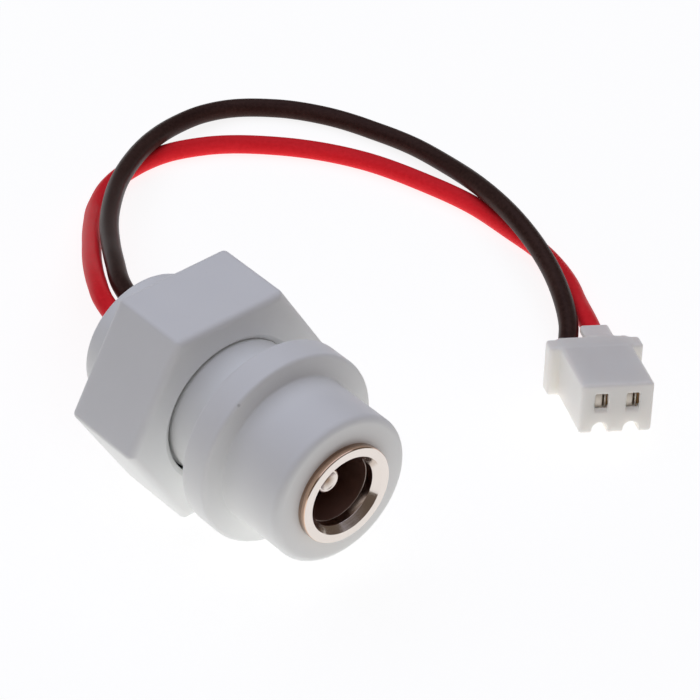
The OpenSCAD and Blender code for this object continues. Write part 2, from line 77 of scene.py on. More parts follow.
# Socket body: stations and radii of its outside, its bore and its thread, and the rounding of its
# edges.
NOSE_FACE, FLANGE_FRONT, FLANGE_REAR, BODY_END = 0.7, 6.9, 9.5, 24.4
NOSE_RADIUS, FLANGE_RADIUS, NECK_RADIUS = 6.2, 8.0, 5.75
SHANK_RADIUS, JACK_RADIUS, SHOULDER = 3.55, 4.3, 4.2
THREAD_START, THREAD_END = 13.8, 22.0
THREAD_CREST, THREAD_ROOT, THREAD_PITCH = 6.0, 5.45, 1.0
RIDGE_SLOPE, STEPS_PER_PITCH = 0.75, 16
NOSE_ROUNDING, NOSE_FILLET, FLANGE_ROUNDING, TAIL_ROUNDING = 0.6, 0.15, 0.3, 0.4
SEAT_EDGE, NECK_FILLET, TAIL_EDGE, BORE_EDGE = 0.08, 0.25, 0.15, 0.05
# The speck of dirt on the flange's front edge, in the part's frame.
DIRT_PLACE = (-4.46, -5.25, 14.98)

# Panel nut: its faces and size over flats, the rounding of its corners and edges, and its hole with
# the front lip, the countersunk rim, the countersink's depth and the shift of the loose nut on its
# thread.
NUT_FRONT, NUT_REAR, NUT_FLATS = 13.3, 20.7, 17.0
NUT_CORNER, NUT_EDGE = 0.45, 0.6
NUT_HOLE, NUT_LIP, NUT_RIM, NUT_SINK = 6.05, 5.9, 6.3, 0.3
NUT_SHIFT = (-0.12, -0.06)

# Mouth bush: radii, stations, the fine bead at the land's rear, and the rounding of its edges.
RING_RADIUS, MOUTH_RADIUS, PLUG_RADIUS, INNER_RADIUS = 4.05, 3.3, 2.85, 3.1
MOUTH_CHAMFER, LAND_END, BEAD = 0.56, 1.3, 0.018
RING_EDGE, LIP_EDGE, BUSH_EDGE, BEAD_EDGE = 0.14, 0.04, 0.05, 0.02

# Centre pin: its tip with a round edge and a shallow dish, its foot on the insulator, its stem and
# solder cup.
PIN_TIP, PIN_RADIUS, PIN_ROUNDING, PIN_DISH = 2.1, 1.0, 0.2, 0.2
PIN_FOOT, STEM_RADIUS, CUP_BOTTOM, CUP_END, CUP_RADIUS = 11.2, 0.7, 14.1, 15.6, 0.4

# Potting in the barrel's rear: its faces, the dip of its open face, and the height and fall-off of
# its meniscus at the bore's wall and round each wire.
SEAL_FRONT, SEAL_REAR, SEAL_DIP = 21.8, 24.0, 0.15
WALL_RISE, WALL_FALL, COLLAR_RISE, COLLAR_FALL = 0.28, 0.25, 0.22, 0.2

# Lead: wire size, where each wire starts and leaves the socket, and its route in the part's frame.
# It runs straight through the potting's front, and straight for a stretch before the plug.
WIRE_DIAMETER, WIRE_SPACING = 1.6, 0.4
WIRE_START, SHRINK_END = 16.5, 17.7
BEFORE_SEAL, IN_SEAL, BEFORE_PLUG = 0.4, 0.6, 1.8
RED_JOINT, BLACK_JOINT, RED_EXIT, BLACK_EXIT = 0.0, 2.4, -0.3, 1.5
RED_ROUTE = [
    (-0.2, 15, 8.5), (0.5, 18, 8.4), (2, 21, 7.7), (4.2, 24.6, 6.4), (7, 28.6, 4.7),
    (10.2, 32.9, 2.8), (13.4, 36.6, 1.3), (16.4, 38.8, 0.8), (19, 39.5, 0.8), (22.5, 39.5, 0.8),
    (26, 38.2, 0.8), (31, 34, 0.8), (35, 28, 0.8), (37, 22, 0.8), (38, 17, 0.8),
    (38.1, 12.5, 0.8), (38, 8.5, 0.8), (36.6, 3.6, 1), (35.2, 1, 1.3), (33.6, -1.9, 1.9),
]
BLACK_ROUTE = [
    (1.9, 15.5, 8.5), (3, 19.1, 8.2), (4.9, 22.5, 7.4), (7.2, 26.2, 6.2), (9.7, 29.8, 5.1),
    (12.4, 33, 4.2), (15, 35.6, 3.5), (17.5, 37.5, 3.1), (21.3, 39.7, 2.5), (25.1, 41.1, 1.8),
    (28.5, 41.5, 1.3), (31.3, 41, 0.9), (34.1, 38.9, 0.8), (36.8, 35.2, 0.8), (38.6, 30.8, 0.8),
    (39.5, 26.8, 1), (39.6, 22.2, 1.4), (38.9, 17.1, 2.2), (37.8, 12, 2.7), (36.4, 7.2, 2.7),
    (34.4, 2.6, 2.6), (31.6, -1.8, 2.4),
]

# Plug housing: its place and turn, and its sizes from the middle of its front face's lower edge.
PLUG_X, PLUG_Y = 25.6, -13.7
PLUG_YAW, PLUG_PITCH, PLUG_ROLL = -28.5, -11.5, 5.0
HOUSING_WIDTH, HOUSING_HEIGHT, HOUSING_LENGTH = 5.8, 4.2, 8.6
EAR_WIDTH, EAR_FRONT, EAR_REAR = 7.6, 6.7, 8.3
TAB_MIDDLE, TAB_WIDTH, TAB_LENGTH, TAB_THICKNESS, TAB_ROOT = 0.7, 2.3, 2.0, 0.9, 1.2
CONTACT_PITCH, CAVITY_MIDDLE, WIRE_END = 2.5, 2.4, 6.7
HOUSING_EDGE, TAB_EDGE, ROOM_EDGE, PORCH_EDGE, WINDOW_EDGE = 0.3, 0.2, 0.1, 0.06, 0.05
EAR_BLEND, TAB_BLEND, CUT_BLEND = 0.3, 0.2, 0.12
# Its two contact rooms: half width, front, floor and top of the room, of the front opening with its
# ramp, of the lance window and of the porch behind the front wall, and the groove under each.
ROOM_HALF, ROOM_FRONT, ROOM_FLOOR, ROOM_TOP, PAST_REAR = 1.05, 1.0, 1.2, 3.6, 3.0
OPENING_HALF, OPENING_LOW, OPENING_HIGH, OPENING_REACH = 0.5, 2.35, 3.35, 2.0
RAMP_DEPTH, RAMP_TOP = 0.5, 2.6
WINDOW_FRONT, WINDOW_REAR, WINDOW_LOW, WINDOW_HIGH = 2.1, 4.0, 0.4, 2.0
PORCH_HALF, PORCH_FRONT, PORCH_REAR, PORCH_LOW, PORCH_HIGH = 0.72, 0.35, 1.4, 2.0, 3.5
GROOVE_MIDDLE, GROOVE_RADIUS, GROOVE_LENGTH = 0.28, 0.62, 6.0
# The grid on which the housing's surface is found.
GRID_LOW, GRID_HIGH, GRID_STEP = (-4.0, -0.4, -0.4), (4.0, 10.8, 4.6), 0.085

# Noses of the crimp contacts: their sheet, and their lowest and highest edge. From above, each has
# a spring leaf along the wall x = LEAF_WALL with a bend and a rolled end, and a cheek that slants
# out to the other wall.
NOSE_SHEET, NOSE_LOW, NOSE_HIGH, SHEET_EDGE = 0.12, 2.05, 3.45, 0.02
LEAF_WALL, LEAF_START, LEAF_TURN = -0.55, 2.2, 1.4
BEND_MIDDLE, BEND_RADIUS = (-0.4, 0.62), 0.15
ROLL_MIDDLE, ROLL_RADIUS, ROLL_TURN = (-0.07, 0.6), 0.13, 1.6
CHEEK_X, CHEEK_SLANT, CHEEK_FRONT, CHEEK_LENGTH = 0.3, 0.25, 0.45, 1.6
# The black wire's contact sits a little askew in its room.
BLACK_NOSE_SHIFT = 0.08


def linear(code, alpha=1.0):
    """The linear colour of an sRGB hex code."""
    srgb = np.array([int(code[i : i + 2], 16) for i in (1, 3, 5)]) / 255
    rgb = np.where(srgb <= 0.04045, srgb / 12.92, ((srgb + 0.055) / 1.055) ** 2.4)
    return (*rgb.tolist(), alpha)


def per_metre(size_mm):
    """How many patterns of that size in millimetres lie along a metre: a texture's scale."""
    return 1 / (size_mm * MM)


def add(tree, kind, inputs=None, **settings):
    """Adds a node, sets its properties, and gives each input a value or a link from another
    node's output."""
    made = tree.nodes.new(kind)
    for name, value in settings.items():
        setattr(made, name, value)
    for name, value in (inputs or {}).items():
        if isinstance(value, bpy.types.NodeSocket):
            tree.links.new(value, made.inputs[name])
        else:
            made.inputs[name].default_value = value
    return made


def start_material(name, inputs):
    """A new material with only a Principled shader, whose sockets get the given values."""
    material = bpy.data.materials.new(name)
    material.use_nodes = True
    tree = material.node_tree
    tree.nodes.clear()
    shader = add(tree, "ShaderNodeBsdfPrincipled", inputs)
    add(tree, "ShaderNodeOutputMaterial", {"Surface": shader.outputs["BSDF"]})
    return material, tree, shader


def end_material(tree, shader, colour, roughness, height, strength, depth_mm):
    """Links a colour, a roughness and a relief of that depth in millimetres to the shader."""
    relief = add(
        tree, "ShaderNodeBump", {"Height": height, "Strength": strength, "Distance": depth_mm * MM}
    )
    tree.links.new(colour, shader.inputs["Base Color"])
    tree.links.new(roughness, shader.inputs["Roughness"])
    tree.links.new(relief.outputs["Normal"], shader.inputs["Normal"])


# Materials


def moulded_nylon():
    """White nylon 66 from a fine spark-eroded mould: a satin skin that light enters a little,
    faint clouds in the white, a grain too fine to see but for its soft sheen, a few dark specks
    burnt in the barrel screw, and the speck of dirt that the photo shows on the flange's edge."""
    material, tree, shader = start_material(
        "moulded_white_nylon",
        {
            "IOR": NYLON_IOR,
            "Subsurface Weight": 0.12,
            "Subsurface Radius": (1.0, 0.95, 0.9),
            "Subsurface Scale": 0.6 * MM,
        },
    )
    place = add(tree, "ShaderNodeTexCoord").outputs["Object"]
    clouds, grain = (
        add(
            tree,
            "ShaderNodeTexNoise",
            {"Vector": place, "Scale": per_metre(size_mm), "Detail": detail},
        ).outputs["Fac"]
        for size_mm, detail in ((5, 3.0), (0.12, 2.0))
    )
    white = add(tree, "ShaderNodeValToRGB", {"Fac": clouds})
    white.color_ramp.elements[0].color = linear("#ECEDEC")
    white.color_ramp.elements[1].color = linear("#F3F4F2")
    cells = add(tree, "ShaderNodeTexVoronoi", {"Vector": place, "Scale": per_metre(4.2)})
    from_dirt = add(
        tree, "ShaderNodeVectorMath", {0: place, 1: Vector(DIRT_PLACE) * MM}, operation="DISTANCE"
    )
    # A speck fades out between two shares of its cell, and the dirt between two distances.
    speck, dirt = (
        add(
            tree,
            "ShaderNodeMapRange",
            {"Value": away, "From Min": near, "From Max": far, "To Min": depth, "To Max": 0.0},
        ).outputs["Result"]
        for away, near, far, depth in (
            (cells.outputs["Distance"], 0.012, 0.022, 0.55),
            (from_dirt.outputs["Value"], 0.05 * MM, 0.18 * MM, 0.4),
        )
    )
    marks = add(tree, "ShaderNodeMath", {0: speck, 1: dirt}, operation="MAXIMUM")
    colour = add(
        tree,
        "ShaderNodeMix",
        {"Factor": marks.outputs["Value"], "A": white.outputs["Color"], "B": linear("#6E6A66")},
        data_type="RGBA",
    ).outputs["Result"]
    skin = add(
        tree,
        "ShaderNodeMapRange",
        {"Value": clouds, **NOISE_SPREAD, "To Min": 0.44, "To Max": 0.54},
    ).outputs["Result"]
    end_material(tree, shader, colour, skin, grain, strength=0.12, depth_mm=0.02)
    return material


def natural_nylon():
    """Unfilled nylon of the plug housing, thin-walled and milky: light comes through its walls,
    so edges glow and the dark wires and contacts inside shade it faintly."""
    material, tree, shader = start_material(
        "moulded_natural_nylon",
        {
            "IOR": NYLON_IOR,
            "Subsurface Weight": 0.6,
            "Subsurface Radius": (1.0, 0.9, 0.87),
            "Subsurface Scale": 1.6 * MM,
        },
    )
    place = add(tree, "ShaderNodeTexCoord").outputs["Object"]
    clouds, ripple = (
        add(
            tree,
            "ShaderNodeTexNoise",
            {"Vector": place, "Scale": per_metre(size_mm), "Detail": detail},
        ).outputs["Fac"]
        for size_mm, detail in ((2.4, 2.0), (0.5, 1.0))
    )
    milk = add(tree, "ShaderNodeValToRGB", {"Fac": clouds})
    milk.color_ramp.elements[0].color = linear("#FDF5EB")
    milk.color_ramp.elements[1].color = linear("#FFF9EF")
    colour = milk.outputs["Color"]
    skin = add(
        tree,
        "ShaderNodeMapRange",
        {"Value": clouds, **NOISE_SPREAD, "To Min": 0.36, "To Max": 0.46},
    ).outputs["Result"]
    end_material(tree, shader, colour, skin, ripple, strength=0.15, depth_mm=0.02)
    return material


def turned_nickel():
    """Nickel plate over turned brass: a warm bright metal with fine lathe rings, which smear
    reflections round the axis. The rings are drawn 0.16 mm apart, coarser than the real ones, so
    that they show. The ring's rim has a brown tint that is a painted reflection. The bore's wall
    behind the land is duller, and its brown is painted light, standing in for light reaching into
    the bore. The dish of the pin's tip has painted brown shade, darkest at its middle."""
    material, tree, shader = start_material("nickel_plate_on_turned_brass", {"Metallic": 1.0})
    place = add(tree, "ShaderNodeTexCoord").outputs["Object"]
    to_axis = (0, 0, -AXIS_HEIGHT * MM)
    moved = add(tree, "ShaderNodeMapping", {"Vector": place, "Location": to_axis})
    centred = moved.outputs["Vector"]
    rings = add(
        tree,
        "ShaderNodeTexWave",
        {
            "Vector": centred,
            "Scale": math.pi / 10 * per_metre(0.16),
            "Distortion": 1.5,
            "Detail": 1.0,
        },
        wave_type="RINGS",
        rings_direction="Y",
    ).outputs["Fac"]
    patches = add(
        tree, "ShaderNodeTexNoise", {"Vector": place, "Scale": per_metre(1.5), "Detail": 3.0}
    ).outputs["Fac"]
    plate = add(tree, "ShaderNodeValToRGB", {"Fac": patches})
    plate.color_ramp.elements[0].color = linear("#E3DAD2")
    plate.color_ramp.elements[1].color = linear("#EAE1DA")
    polish = add(
        tree,
        "ShaderNodeMapRange",
        {"Value": patches, **NOISE_SPREAD, "To Min": 0.12, "To Max": 0.22},
    ).outputs["Result"]
    axes = add(tree, "ShaderNodeSeparateXYZ", {"Vector": centred}).outputs
    across = add(tree, "ShaderNodeCombineXYZ", {"X": axes["X"], "Z": axes["Z"]}).outputs["Vector"]
    radius = add(tree, "ShaderNodeVectorMath", {0: across}, operation="LENGTH").outputs["Value"]
    land_end, blur = LAND_END - SOCKET_MIDDLE, 0.05
    behind = add(
        tree,
        "ShaderNodeMapRange",
        {
            "Value": axes["Y"],
            "From Min": (land_end - blur) * MM,
            "From Max": (land_end + blur) * MM,
        },
    ).outputs["Result"]
    # Within a distance of a radius: on the bore's wall, and on the ring's rim.
    on_wall, on_rim = (
        add(
            tree,
            "ShaderNodeMath",
            {0: radius, 1: middle * MM, 2: within * MM},
            operation="COMPARE",
        ).outputs["Value"]
        for middle, within in ((PLUG_RADIUS, 0.35), (RING_RADIUS, 0.04))
    )
    wall_behind_land = add(tree, "ShaderNodeMath", {0: behind, 1: on_wall}, operation="MULTIPLY")
    wall_behind_land = wall_behind_land.outputs["Value"]
    in_dish = add(
        tree,
        "ShaderNodeMapRange",
        {
            "Value": radius,
            "From Min": 0.15 * MM,
            "From Max": 0.65 * MM,
            "To Min": 1.0,
            "To Max": 0.0,
        },
    ).outputs["Result"]
    colour = plate.outputs["Color"]
    # Painted colours: a brown reflection on the ring's rim, brown painted light on the bore's wall
    # behind the land, and brown painted shade in the dish of the pin's tip.
    for share, painted_tint in ((on_rim, "#E2C2AA"), (wall_behind_land, "#C9A496"), (in_dish, "#9C8573")):
        colour = add(
            tree,
            "ShaderNodeMix",
            {"Factor": share, "A": colour, "B": linear(painted_tint)},
            data_type="RGBA",
        ).outputs["Result"]
    dulled = add(tree, "ShaderNodeMix", {"Factor": wall_behind_land, "A": polish, "B": 0.5}).outputs["Result"]
    end_material(tree, shader, colour, dulled, rings, strength=0.1, depth_mm=0.004)
    return material


def grained(name, dark, light, size_mm, roughness, bump, **sockets):
    """A plain finish with a grain of that size in millimetres between two near colours, which
    also moves its roughness and its relief. It serves the small pieces inside the socket and the
    plug."""
    material, tree, shader = start_material(name, sockets)
    place = add(tree, "ShaderNodeTexCoord").outputs["Object"]
    grain = add(
        tree, "ShaderNodeTexNoise", {"Vector": place, "Scale": per_metre(size_mm), "Detail": 3.0}
    ).outputs["Fac"]
    ramp = add(tree, "ShaderNodeValToRGB", {"Fac": grain})
    ramp.color_ramp.elements[0].color = linear(dark)
    ramp.color_ramp.elements[1].color = linear(light)
    colour = ramp.outputs["Color"]
    skin = add(
        tree,
        "ShaderNodeMapRange",
        {"Value": grain, **NOISE_SPREAD, "To Min": roughness[0], "To Max": roughness[1]},
    ).outputs["Result"]
    end_material(tree, shader, colour, skin, grain, strength=bump, depth_mm=0.02)
    return material


def extruded_vinyl(name, dark, light, roughness, gloss):
    """Plasticised vinyl drawn over the strands: a soft, slightly waxy skin with long die streaks
    along the wire, rubbed to a fine mottle of 0.3 mm. The UV map runs in millimetres along the
    wire and in turns round it, and the turns become a circle, so that no seam shows."""
    material, tree, shader = start_material(
        name, {"IOR": VINYL_IOR, "Specular IOR Level": gloss, "Specular Tint": linear("#FFCBC0")}
    )
    along = add(tree, "ShaderNodeUVMap", uv_map="along_wire").outputs["UV"]
    steps = add(tree, "ShaderNodeSeparateXYZ", {"Vector": along}).outputs
    angle = add(tree, "ShaderNodeMath", {0: steps["Y"], 1: 2 * math.pi}, operation="MULTIPLY")
    cosine, sine = (
        add(tree, "ShaderNodeMath", {0: angle.outputs["Value"]}, operation=side).outputs["Value"]
        for side in ("COSINE", "SINE")
    )
    skin_place = add(tree, "ShaderNodeCombineXYZ", {"X": steps["X"], "Y": cosine, "Z": sine})
    skin_place = skin_place.outputs["Vector"]
    # Each pattern is a noise over the skin, which is stretched first: the streaks are some 8 mm
    # long, and the mottle is as wide as it is long.
    radius, mottle_size = WIRE_DIAMETER / 2, 0.3
    patterns = []
    for stretch, scale in (((0.12, 1.4, 1.4), 1.0), ((1.0, radius, radius), 1 / mottle_size)):
        drawn = add(tree, "ShaderNodeMapping", {"Vector": skin_place, "Scale": stretch})
        drawn = drawn.outputs["Vector"]
        pattern = add(tree, "ShaderNodeTexNoise", {"Vector": drawn, "Scale": scale, "Detail": 3.0})
        patterns.append(pattern.outputs["Fac"])
    die_streaks, mottle = patterns
    streaks = add(tree, "ShaderNodeMix", {"Factor": 0.5, "A": die_streaks, "B": mottle})
    streaks = streaks.outputs["Result"]
    ramp = add(tree, "ShaderNodeValToRGB", {"Fac": streaks})
    for stop, position, code in zip(ramp.color_ramp.elements, NOISE_SPREAD.values(), (dark, light)):
        stop.position = position
        stop.color = linear(code)
    colour = ramp.outputs["Color"]
    sheen = add(
        tree,
        "ShaderNodeMapRange",
        {"Value": streaks, **NOISE_SPREAD, "To Min": roughness[0], "To Max": roughness[1]},
    ).outputs["Result"]
    end_material(tree, shader, colour, sheen, streaks, strength=0.1, depth_mm=0.02)
    return material


WHITE_NYLON = moulded_nylon()
NATURAL_NYLON = natural_nylon()
NICKEL = turned_nickel()
# Moulded phenolic of the plug's bore: even, with a soft sheen. Its brown is lighter than the
# phenolic's own brown-black: painted light, standing in for light reaching into the dim bore.
BLACK_LINER = grained(
    "moulded_black_phenolic", "#5A4038", "#6C4E44",
    size_mm=0.4, roughness=(0.3, 0.42), bump=0.1, IOR=PHENOLIC_IOR,
)
# Rolled phosphor bronze of the leaf: redder than brass, and bright from the rolls.
SPRING_BRONZE = grained(
    "rolled_phosphor_bronze", "#8A6A4A", "#B08B62",
    size_mm=0.5, roughness=(0.2, 0.34), bump=0.08, Metallic=1.0,
)
# Stamped strip of the contacts: brass, and brass under tin on their noses, both dull from the tool.
CONTACT_BRASS = grained(
    "stamped_brass_strip", "#D0A06E", "#E8C496",
    size_mm=0.5, roughness=(0.45, 0.6), bump=0.08, Metallic=1.0,
)
TIN_PLATE = grained(
    "tin_plated_brass_strip", "#D6CFC4", "#E4DDD2",
    size_mm=0.5, roughness=(0.45, 0.6), bump=0.08, Metallic=1.0,
)
# Solder as it froze: grey, with a wrinkled skin.
TIN_SOLDER = grained(
    "frozen_tin_solder", "#A9A9AB", "#CFCFCF",
    size_mm=0.4, roughness=(0.22, 0.4), bump=0.3, Metallic=1.0,
)
# Tinned copper strands: reddish where the tin is thin.
COPPER_STRANDS = grained(
    "tinned_copper_strands", "#A8734C", "#D0A580",
    size_mm=0.2, roughness=(0.25, 0.4), bump=0.3, Metallic=1.0,
)
# Shrunk polyolefin sleeves: a deep colour under a dull skin.
RED_SLEEVE = grained(
    "red_shrunk_polyolefin", "#7C1219", "#96202A", size_mm=0.6, roughness=(0.4, 0.5), bump=0.2
)
BLACK_SLEEVE = grained(
    "black_shrunk_polyolefin", "#171413", "#262221", size_mm=0.6, roughness=(0.4, 0.5), bump=0.2
)
# Cured resin of the potting: off-white, with slow waves in a smooth skin.
POTTING = grained(
    "cured_white_resin", "#CFCFCC", "#DEDEDA", size_mm=1.2, roughness=(0.3, 0.42), bump=0.25
)
RED_VINYL = extruded_vinyl(
    "red_extruded_vinyl", "#EA222B", "#FA303A", roughness=(0.36, 0.5), gloss=0.08
)
BLACK_VINYL = extruded_vinyl(
    "black_extruded_vinyl", "#2B1B18", "#44312C", roughness=(0.32, 0.46), gloss=0.1
)


# Shapes


def joined(points, wrap_first, wrap_second):
    """Quads of a grid of points [first, second, xyz]: each joins a point to its neighbours one
    step on in both directions, and a wrapped direction joins its last row to its first. Also
    gives each corner's grid steps."""
    rows, columns = points.shape[:2]
    i, j = np.meshgrid(
        np.arange(rows if wrap_first else rows - 1),
        np.arange(columns if wrap_second else columns - 1),
        indexing="ij",
    )
    step_i = np.stack([i, i + 1, i + 1, i], -1).reshape(-1, 4)
    step_j = np.stack([j, j, j + 1, j + 1], -1).reshape(-1, 4)
    quads = (step_i % rows) * columns + step_j % columns
    return points.reshape(-1, 3), quads, np.stack([step_i, step_j], -1)


def end_caps(rows, columns, start=0):
    """The two caps of a tube of joined rings, wound as its quads are: the first ring as it runs,
    and the last one reversed. Start is the index of the first ring's first point."""
    last = start + (rows - 1) * columns
    return [list(range(start, start + columns)), list(range(last, last + columns))[::-1]]


def outwards(points, quads, caps):
    """Whether the quads and caps of a closed surface face out: the sum of their signed volumes
    is positive."""
    fans = [np.stack([np.full(len(c) - 2, c[0]), c[1:-1], c[2:]], -1) for c in caps]
    triangles = np.concatenate([quads[:, [0, 1, 2]], quads[:, [0, 2, 3]], *fans])
    a, b, c = (points[triangles[:, k]] for k in range(3))
    return np.einsum("ij,ij->i", a, np.cross(b, c)).sum() > 0


def make_piece(name, points, quads, material, replaced, caps=(), uv=None):
    """A smooth mesh piece at the origin from points in millimetres, turned to face outwards,
    riding the part. The quads may carry a UV map, given corner by corner."""
    flipped = not outwards(points, quads, caps)
    quads = quads[:, ::-1] if flipped else quads
    caps = [cap[::-1] for cap in caps] if flipped else list(caps)
    mesh = bpy.data.meshes.new(name)
    mesh.from_pydata((points * MM).tolist(), [], quads.tolist() + caps)
    if uv is not None:
        corners = uv[:, ::-1] if flipped else uv
        loops = np.zeros((len(mesh.loops), 2))
        loops[: 4 * len(quads)] = corners.reshape(-1, 2)
        mesh.uv_layers.new(name="along_wire").data.foreach_set("uv", loops.ravel())
    mesh.polygons.foreach_set("use_smooth", np.ones(len(mesh.polygons), bool))
    mesh.materials.append(material)
    piece = bpy.data.objects.new(name, mesh)
    bpy.context.scene.collection.objects.link(piece)
    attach(piece, "root")
    if replaced:
        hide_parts(*replaced)
    return piece


def rounded(corners, arc_steps=8, support=0.04):
    """A closed outline of (station, radius, rounding) corners as points. A round corner becomes
    an arc that meets both sides at rounding / tan(half the corner's angle) from it, with a
    support point just past each end, so that smooth shading stays flat beyond the arc. A corner
    with no rounding stays one point."""
    here = np.array([c[:2] for c in corners], float)
    outline = []
    for k, (_, _, rounding) in enumerate(corners):
        before, after = here[k - 1] - here[k], here[(k + 1) % len(here)] - here[k]
        if rounding <= 0:
            outline.append(here[k][None])
            continue
        u, v = before / np.linalg.norm(before), after / np.linalg.norm(after)
        half = math.acos(np.clip(u @ v, -1, 1)) / 2
        reach = rounding / math.tan(half)
        centre = here[k] + (u + v) / np.linalg.norm(u + v) * rounding / math.sin(half)
        start, end = here[k] + u * reach - centre, here[k] + v * reach - centre
        t = np.linspace(0, 1, arc_steps + 1)[:, None]
        turn = math.pi - 2 * half
        arc = centre + (np.sin((1 - t) * turn) * start + np.sin(t * turn) * end) / math.sin(turn)
        past = reach + support
        outline += [here[k][None] + u * past, arc, here[k][None] + v * past]
    return np.concatenate(outline)


def turned(outline, steps, height=None):
    """An outline of (station, radius) turned about the socket's axis: x = r cos a, z = axis + r
    sin a. A height function of station, radius and angle may change the radius."""
    angle = np.linspace(0, 2 * np.pi, steps, endpoint=False)[None]
    station, radius = np.broadcast_arrays(outline[:, :1], angle)[0], outline[:, 1:] + 0 * angle
    if height is not None:
        radius = height(station, radius, angle)
    return np.stack(
        [radius * np.cos(angle), station - SOCKET_MIDDLE, AXIS_HEIGHT + radius * np.sin(angle)], -1
    )


def thread_height(station, radius, angle):
    """Right-hand thread on the barrel: a rounded ridge whose height follows the cosine of the
    station in pitches less the turns of the angle, faded in over one pitch at both ends of the
    threaded length."""
    turns = station / THREAD_PITCH + angle / (2 * np.pi)
    ridge = np.clip(0.5 + RIDGE_SLOPE * np.cos(2 * np.pi * turns), 0, 1)
    fade = np.clip(np.minimum(station - THREAD_START, THREAD_END - station) / THREAD_PITCH, 0, 1)
    cut = THREAD_ROOT + (THREAD_CREST - THREAD_ROOT) * ridge
    on_barrel = (np.abs(radius - NECK_RADIUS) < TOUCH) & (fade > 0)
    return np.where(on_barrel, radius + fade * (cut - radius), radius)


def socket_body():
    """Nose, flange and threaded barrel in one moulding, with the jack's bore inside: a rounded
    outline turned about the axis, with points along the barrel for the thread's ridges."""
    stations = np.arange(THREAD_START, THREAD_END + TOUCH, THREAD_PITCH / STEPS_PER_PITCH)
    outline = rounded(
        [
            (NOSE_FACE, SHANK_RADIUS, SEAT_EDGE),
            (NOSE_FACE, NOSE_RADIUS, NOSE_ROUNDING),
            (FLANGE_FRONT, NOSE_RADIUS, NOSE_FILLET),
            (FLANGE_FRONT, FLANGE_RADIUS, FLANGE_ROUNDING),
            (FLANGE_REAR, FLANGE_RADIUS, FLANGE_ROUNDING),
            (FLANGE_REAR, NECK_RADIUS, NECK_FILLET),
            *[(station, NECK_RADIUS, 0) for station in stations],
            (BODY_END, NECK_RADIUS, TAIL_ROUNDING),
            (BODY_END, JACK_RADIUS, TAIL_EDGE),
            (SHOULDER, JACK_RADIUS, BORE_EDGE),
            (SHOULDER, SHANK_RADIUS, BORE_EDGE),
        ]
    )
    points, quads, _ = joined(turned(outline, BODY_STEPS, thread_height), True, True)
    return make_piece("socket_moulding", points, quads, WHITE_NYLON, ["socket_body"])


def hexagon_round(inset, along_flat=16, along_arc=8):
    """Points round the nut's hexagon moved in by the inset, with a corner towards +X: at each
    corner an arc of the corner's radius less the inset, about a centre on the diagonal, and
    evenly spaced points along each flat."""
    corner = max(NUT_CORNER - inset, 0.02)
    centre = (NUT_FLATS - 2 * inset) / math.sqrt(3) - corner / math.cos(math.pi / 6)
    diagonal = np.arange(6)[:, None] * math.pi / 3
    facing = diagonal + np.linspace(-math.pi / 6, math.pi / 6, along_arc + 1)
    arcs = centre * np.stack([np.cos(diagonal), np.sin(diagonal)], -1)
    arcs = arcs + corner * np.stack([np.cos(facing), np.sin(facing)], -1)
    t = np.linspace(0, 1, along_flat + 1)[1:-1, None]
    flats = arcs[:, -1:] * (1 - t) + np.roll(arcs, -1, 0)[:, :1] * t
    return np.concatenate([arcs, flats], 1).reshape(-1, 2)


def panel_nut():
    """Hexagon nut with soft edges: the outline is moved in while it runs round each front and
    rear edge as a quarter circle, and is joined over both faces to a countersunk round hole with
    a lip before the thread at its front. The hole sits a little off the middle, as the loose nut
    does on its thread."""
    outline = hexagon_round(0)
    direction = outline / np.linalg.norm(outline, axis=1, keepdims=True)
    t = np.linspace(0, math.pi / 2, 9)
    edge = list(zip(NUT_EDGE * (1 - np.sin(t)), NUT_EDGE * (1 - np.cos(t))))
    support, corner = 0.06, 0.02
    sink_start = NUT_SINK * (1 - corner / (NUT_RIM - NUT_LIP))

    def hole(radius):
        """The circle of that radius round the shifted middle, with a point for each one of the
        outline."""
        return direction * radius + np.array(NUT_SHIFT)

    rows = [
        (hole(NUT_HOLE), NUT_REAR - NUT_SINK),
        (hole(NUT_HOLE), THREAD_START),
        (hole(NUT_LIP), NUT_FRONT + NUT_SINK + corner),
        (hole(NUT_LIP), NUT_FRONT + NUT_SINK),
        (hole(NUT_LIP + corner), NUT_FRONT + sink_start),
        (hole(NUT_RIM), NUT_FRONT + corner),
        (hole(NUT_RIM + corner), NUT_FRONT),
        (hole(NUT_RIM + support), NUT_FRONT),
        (hexagon_round(NUT_EDGE + support), NUT_FRONT),
        *[(hexagon_round(inset), NUT_FRONT + depth) for inset, depth in edge],
        (outline, NUT_FRONT + NUT_EDGE + support),
        (outline, NUT_REAR - NUT_EDGE - support),
        *[(hexagon_round(inset), NUT_REAR - depth) for inset, depth in edge[::-1]],
        (hexagon_round(NUT_EDGE + support), NUT_REAR),
        (hole(NUT_RIM + support), NUT_REAR),
        (hole(NUT_RIM + corner), NUT_REAR),
        (hole(NUT_RIM), NUT_REAR - corner),
    ]
    flats = np.stack([flat for flat, _ in rows])
    stations = np.array([station for _, station in rows])[:, None] + 0 * flats[..., 0]
    grid = np.stack([flats[..., 0], stations - SOCKET_MIDDLE, AXIS_HEIGHT + flats[..., 1]], -1)
    points, quads, _ = joined(grid, True, True)
    return make_piece("panel_nut", points, quads, WHITE_NYLON, ["hex_nut"])


